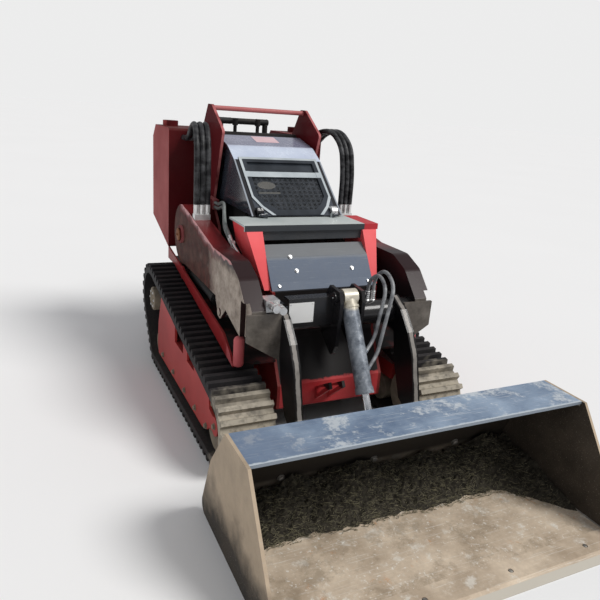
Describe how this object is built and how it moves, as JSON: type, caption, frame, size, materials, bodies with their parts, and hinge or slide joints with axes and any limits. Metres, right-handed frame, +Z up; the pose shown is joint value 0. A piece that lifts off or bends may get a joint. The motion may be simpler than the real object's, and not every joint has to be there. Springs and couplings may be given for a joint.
{
  "type": "compact tracked utility loader",
  "caption": "Compact tracked loader with two rear-pivoted lift arms, a dirt bucket, rubber tracks, a tilting hood and a folding rear platform for its driver.",
  "frame": {"origin": "middle of the machine on the ground, halfway between the cutting edge and the rear edge of the platform", "axes": "-Y is forward, towards the bucket; +X is the machine's left as its driver sees it; +Z is up from the ground under the tracks"},
  "size_m": [1.22, 2.606, 1.247],
  "materials": {
    "red_paint": "gloss, dusty",
    "charcoal_hood": "gloss",
    "black_paint": "gloss",
    "cream_paint": "satin",
    "worn_steel": "worn, scratched",
    "bucket_steel": "worn, dusty",
    "track_rubber": "matt, dusty",
    "hose_rubber": "matt",
    "chrome_rod": "polished",
    "grey_cylinder": "satin",
    "cast_engine": "matt",
    "silver_fittings": "satin",
    "pad_foam": "matt",
    "wheel_steel": "dusty",
    "dark_panel": "matt"
  },
  "bodies": {
    "chassis": {"aux_hoses": "hose_rubber", "belly_and_nose": "red_paint", "console": "dark_panel", "cooler": "cast_engine", "engine_block": "cast_engine", "fender_left": "red_paint", "fender_right": "red_paint", "front_cover": "worn_steel", "front_crossbar": "dark_panel", "front_post_left": "red_paint", "front_post_right": "red_paint", "hand_controls": "dark_panel", "hood_ledge": "cream_paint", "hose_bundle_left": "hose_rubber", "hose_bundle_right": "hose_rubber", "main_frame": "red_paint", "sprocket_left": "wheel_steel", "sprocket_right": "wheel_steel", "thigh_pad": "pad_foam", "tower_left": "red_paint", "tower_right": "red_paint", "track_frame_left": "red_paint", "track_frame_right": "red_paint", "track_left": "track_rubber", "track_right": "track_rubber", "track_rollers_left": "wheel_steel", "track_rollers_right": "wheel_steel", "upright_crossbar": "red_paint", "upright_left": "red_paint", "upright_right": "red_paint"},
    "arms": {"lift_arm_left": "black_paint", "lift_arm_right": "black_paint", "blade_left": "black_paint", "blade_right": "black_paint", "arm_crossmember": "black_paint", "hose_fittings_left": "silver_fittings", "hose_fittings_right": "silver_fittings", "aux_couplers": "silver_fittings", "aux_lines": "silver_fittings", "tilt_hoses": "hose_rubber"},
    "hood": {"hood_grille": "dark_panel", "hood_shell": "charcoal_hood"},
    "bucket": {"bucket_shell": "bucket_steel", "bucket_sides": "bucket_steel", "bucket_lip": "worn_steel", "cutting_edge": "worn_steel", "bucket_mount": "black_paint"},
    "lift_barrel_left": {"lift_left_barrel": "grey_cylinder"},
    "lift_rod_left": {"lift_left_rod": "chrome_rod"},
    "lift_barrel_right": {"lift_right_barrel": "grey_cylinder"},
    "lift_rod_right": {"lift_right_rod": "chrome_rod"},
    "tilt_barrel": {"tilt_barrel": "grey_cylinder"},
    "tilt_rod": {"tilt_rod": "chrome_rod"},
    "platform": {"operator_platform": "worn_steel"}
  },
  "joints": [
    {"name": "arm_lift", "type": "hinge", "parent": "chassis", "child": "arms", "pos_m": [0, 0.49, 0.66], "axis": [-1, 0, 0], "range_deg": [0, 65], "deforming": ["hose_bundle_left", "hose_bundle_right", "aux_hoses"]},
    {"name": "bucket_tilt", "type": "hinge", "parent": "arms", "child": "bucket", "pos_m": [0, -0.648, 0.092], "axis": [1, 0, 0], "range_deg": [-25, 100]},
    {"name": "hood_tilt", "type": "hinge", "parent": "chassis", "child": "hood", "pos_m": [0, 0.05, 0.83], "axis": [1, 0, 0], "range_deg": [0, 45]},
    {"name": "platform_fold", "type": "hinge", "parent": "chassis", "child": "platform", "pos_m": [0, 0.948, 0.19], "axis": [1, 0, 0], "range_deg": [0, 90]},
    {"name": "lift_cylinder_hinge_left", "type": "hinge", "parent": "chassis", "child": "lift_barrel_left", "pos_m": [0.355, 0.43, 0.492], "axis": [-1, 0, 0], "range_deg": [0, 63.88]},
    {"name": "lift_rod_slide_left", "type": "slide", "parent": "lift_barrel_left", "child": "lift_rod_left", "axis": [0, -0.9997, -0.0264], "range_m": [0, 0.1967]},
    {"name": "lift_cylinder_hinge_right", "type": "hinge", "parent": "chassis", "child": "lift_barrel_right", "pos_m": [-0.355, 0.43, 0.492], "axis": [-1, 0, 0], "range_deg": [0, 63.88]},
    {"name": "lift_rod_slide_right", "type": "slide", "parent": "lift_barrel_right", "child": "lift_rod_right", "axis": [0, -0.9997, -0.0264], "range_m": [0, 0.1967]},
    {"name": "tilt_cylinder_hinge", "type": "hinge", "parent": "arms", "child": "tilt_barrel", "pos_m": [0, -0.41, 0.612], "axis": [-1, 0, 0], "range_deg": [-0.51, 2.04], "deforming": ["tilt_hoses"]},
    {"name": "tilt_rod_slide", "type": "slide", "parent": "tilt_barrel", "child": "tilt_rod", "axis": [0, -0.5139, -0.8578], "range_m": [-0.0328, 0.128]}
  ],
  "couplings": [
    {"joint": "lift_cylinder_hinge_left", "follows": "arm_lift", "ratio": 0.975},
    {"joint": "lift_rod_slide_left", "follows": "arm_lift", "m_per_rad": 0.1716},
    {"joint": "lift_cylinder_hinge_right", "follows": "arm_lift", "ratio": 0.975},
    {"joint": "lift_rod_slide_right", "follows": "arm_lift", "m_per_rad": 0.1716},
    {"joint": "tilt_cylinder_hinge", "follows": "bucket_tilt", "ratio": 0.02},
    {"joint": "tilt_rod_slide", "follows": "bucket_tilt", "m_per_rad": 0.07277}
  ]
}
